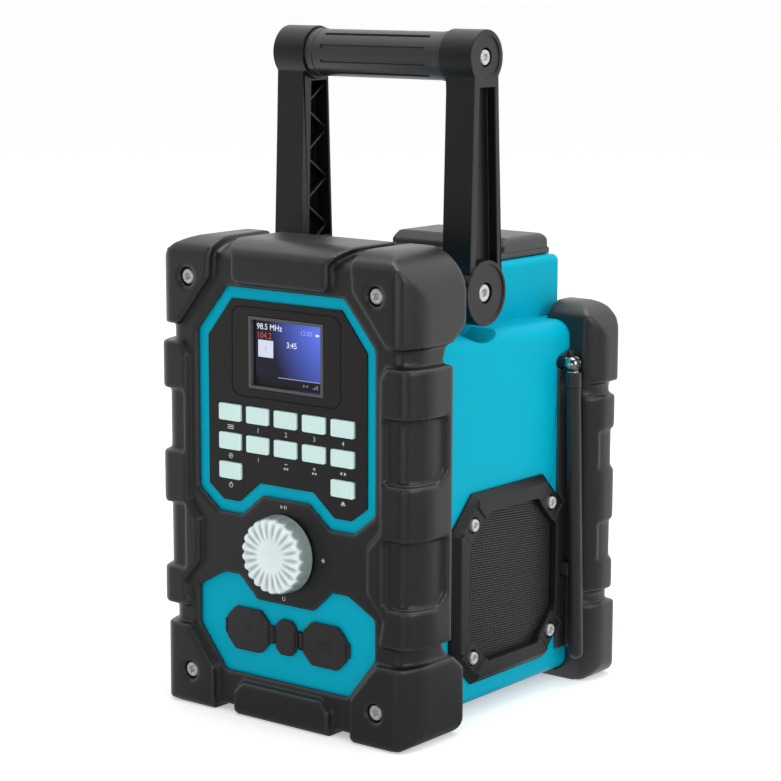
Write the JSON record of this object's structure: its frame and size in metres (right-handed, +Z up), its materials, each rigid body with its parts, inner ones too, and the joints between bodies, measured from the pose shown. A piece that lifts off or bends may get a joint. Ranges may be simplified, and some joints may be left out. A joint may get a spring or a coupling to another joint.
{
  "type": "jobsite radio",
  "caption": "Jobsite radio with rubber corner guards, a folding handle, display, keys, volume knob, side speakers, port covers, a stowed antenna and a battery bay under a latched lid.",
  "frame": {"origin": "centre of the bounding box, on the ground under the guards", "axes": "+X to the right when facing the controls, +Y from the controls to the back, +Z up"},
  "size_m": [0.1836, 0.211, 0.3793],
  "materials": {
    "guard_rubber": "matte, softly grained",
    "case_plastic": "satin teal",
    "panel_plastic": "satin black",
    "display_glass": "clear over a lit screen",
    "button_plastic": "pearl",
    "knob_plastic": "pearl silver",
    "black_plastic": "satin",
    "bright_steel": "bright",
    "chrome_metal": "polished",
    "tube_metal": "drawn",
    "board": "green board",
    "speaker_metal": "painted grey",
    "grille_metal": "black",
    "cone": "moulded cone",
    "seal": "soft foam rubber",
    "contact_metal": "plated"
  },
  "bodies": {
    "chassis": {"front_guard": "guard_rubber", "rear_guard": "guard_rubber", "main_housing": "case_plastic", "front_fascia": "case_plastic", "rear_cover": "case_plastic", "control_panel": "panel_plastic", "display_frame": "black_plastic", "display_lens": "display_glass", "display_module": "bright_steel", "keypad_board": "board", "main_board": "board", "encoder_body": "bright_steel", "port_strap": "guard_rubber", "aux_jack": "black_plastic", "usb_socket": "bright_steel", "speaker_ring_left": "guard_rubber", "speaker_ring_right": "guard_rubber", "speaker_mesh_left": "grille_metal", "speaker_mesh_right": "grille_metal", "loudspeaker_left": "speaker_metal", "loudspeaker_right": "speaker_metal", "speaker_cone_left": "cone", "speaker_cone_right": "cone", "pivot_bushes": "bright_steel", "pivot_screws": "bright_steel", "battery_bay": "black_plastic", "battery_terminals": "contact_metal", "lid_hinge_pin": "bright_steel", "antenna_base": "chrome_metal", "antenna_pin": "bright_steel", "antenna_clip": "black_plastic", "front_guard_screws": "bright_steel", "rear_guard_screws": "bright_steel", "speaker_screws": "bright_steel"},
    "handle": {"handle_arm_left": "black_plastic", "handle_arm_right": "black_plastic", "handle_grip": "guard_rubber", "grip_tube": "tube_metal", "grip_screws": "bright_steel"},
    "lid": {"battery_lid": "black_plastic", "lid_gasket": "seal"},
    "latch": {"lid_latch": "black_plastic"},
    "knob_press": {"encoder_plunger": "bright_steel"},
    "knob": {"encoder_shaft": "bright_steel", "volume_knob": "knob_plastic"},
    "usb_cover": {"usb_flap": "guard_rubber"},
    "aux_cover": {"aux_flap": "guard_rubber"},
    "antenna": {"antenna_rod": "black_plastic"},
    "key_preset": {"button_preset": "button_plastic"},
    "key_memory_1": {"button_memory_1": "button_plastic"},
    "key_memory_2": {"button_memory_2": "button_plastic"},
    "key_memory_3": {"button_memory_3": "button_plastic"},
    "key_memory_4": {"button_memory_4": "button_plastic"},
    "key_mode": {"button_mode": "button_plastic"},
    "key_info": {"button_info": "button_plastic"},
    "key_tune_down": {"button_tune_down": "button_plastic"},
    "key_tune_up": {"button_tune_up": "button_plastic"},
    "key_scan": {"button_scan": "button_plastic"},
    "key_power": {"button_power": "button_plastic"},
    "key_alarm": {"button_alarm": "button_plastic"}
  },
  "joints": [
    {"name": "handle_fold", "type": "hinge", "parent": "chassis", "child": "handle", "pos_m": [0, -0.00335, 0.2365], "axis": [-1, 0, 0], "range_deg": [-28, 88]},
    {"name": "lid_open", "type": "hinge", "parent": "chassis", "child": "lid", "pos_m": [0, 0.01755, 0.2503], "axis": [1, 0, 0], "range_deg": [0, 95]},
    {"name": "latch_lift", "type": "hinge", "parent": "lid", "child": "latch", "pos_m": [0, 0.09695, 0.2535], "axis": [1, 0, 0], "range_deg": [0, 30]},
    {"name": "knob_push", "type": "slide", "parent": "chassis", "child": "knob_press", "axis": [0, 1, 0], "range_m": [0, 0.0006], "stiffness_N_per_m": 4000, "springref_m": -0.0002},
    {"name": "knob_turn", "type": "hinge", "parent": "knob_press", "child": "knob", "pos_m": [0, -0.09745, 0.097], "axis": [0, 1, 0], "continuous": true},
    {"name": "usb_cover_open", "type": "hinge", "parent": "chassis", "child": "usb_cover", "pos_m": [0.00965, -0.09065, 0.049], "axis": [0, 0, -1], "range_deg": [0, 95], "stiffness_Nm_per_rad": 0.01},
    {"name": "aux_cover_open", "type": "hinge", "parent": "chassis", "child": "aux_cover", "pos_m": [-0.00965, -0.09065, 0.049], "axis": [0, 0, 1], "range_deg": [0, 95], "stiffness_Nm_per_rad": 0.01},
    {"name": "antenna_tilt", "type": "hinge", "parent": "chassis", "child": "antenna", "pos_m": [0.08, 0.06805, 0.1895], "axis": [0, -1, 0], "range_deg": [0, 110]},
    {"name": "press_preset", "type": "slide", "parent": "chassis", "child": "key_preset", "axis": [0, 1, 0], "range_m": [0, 0.0008], "stiffness_N_per_m": 1500, "springref_m": -0.0002},
    {"name": "press_memory_1", "type": "slide", "parent": "chassis", "child": "key_memory_1", "axis": [0, 1, 0], "range_m": [0, 0.0008], "stiffness_N_per_m": 1500, "springref_m": -0.0002},
    {"name": "press_memory_2", "type": "slide", "parent": "chassis", "child": "key_memory_2", "axis": [0, 1, 0], "range_m": [0, 0.0008], "stiffness_N_per_m": 1500, "springref_m": -0.0002},
    {"name": "press_memory_3", "type": "slide", "parent": "chassis", "child": "key_memory_3", "axis": [0, 1, 0], "range_m": [0, 0.0008], "stiffness_N_per_m": 1500, "springref_m": -0.0002},
    {"name": "press_memory_4", "type": "slide", "parent": "chassis", "child": "key_memory_4", "axis": [0, 1, 0], "range_m": [0, 0.0008], "stiffness_N_per_m": 1500, "springref_m": -0.0002},
    {"name": "press_mode", "type": "slide", "parent": "chassis", "child": "key_mode", "axis": [0, 1, 0], "range_m": [0, 0.0008], "stiffness_N_per_m": 1500, "springref_m": -0.0002},
    {"name": "press_info", "type": "slide", "parent": "chassis", "child": "key_info", "axis": [0, 1, 0], "range_m": [0, 0.0008], "stiffness_N_per_m": 1500, "springref_m": -0.0002},
    {"name": "press_tune_down", "type": "slide", "parent": "chassis", "child": "key_tune_down", "axis": [0, 1, 0], "range_m": [0, 0.0008], "stiffness_N_per_m": 1500, "springref_m": -0.0002},
    {"name": "press_tune_up", "type": "slide", "parent": "chassis", "child": "key_tune_up", "axis": [0, 1, 0], "range_m": [0, 0.0008], "stiffness_N_per_m": 1500, "springref_m": -0.0002},
    {"name": "press_scan", "type": "slide", "parent": "chassis", "child": "key_scan", "axis": [0, 1, 0], "range_m": [0, 0.0008], "stiffness_N_per_m": 1500, "springref_m": -0.0002},
    {"name": "press_power", "type": "slide", "parent": "chassis", "child": "key_power", "axis": [0, 1, 0], "range_m": [0, 0.0008], "stiffness_N_per_m": 1500, "springref_m": -0.0002},
    {"name": "press_alarm", "type": "slide", "parent": "chassis", "child": "key_alarm", "axis": [0, 1, 0], "range_m": [0, 0.0008], "stiffness_N_per_m": 1500, "springref_m": -0.0002}
  ]
}
